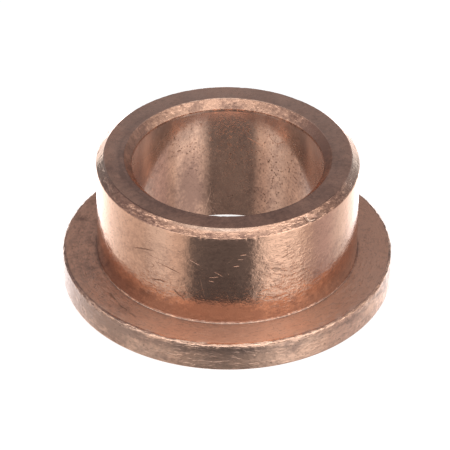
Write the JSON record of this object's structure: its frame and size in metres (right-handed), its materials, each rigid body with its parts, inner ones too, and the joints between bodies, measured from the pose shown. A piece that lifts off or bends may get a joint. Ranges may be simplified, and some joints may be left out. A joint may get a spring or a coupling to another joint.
{
  "type": "flanged sleeve bushing",
  "caption": "One-piece sintered bronze sleeve bearing with a flange at one end, chamfered at the bore's mouth and the sleeve's free end.",
  "frame": {"origin": "centre of the bore in the plane of the flange's outer (thrust) face", "axes": "+Z along the bore's axis towards the sleeve's free end; X and Y are free, because the part is round"},
  "size_m": [0.0278, 0.0278, 0.0118],
  "materials": {
    "bronze": "sized sintered bronze, satin, with light handling marks and mottled brown tarnish"
  },
  "bodies": {
    "root": {"flanged_bushing": "bronze"}
  },
  "joints": []
}
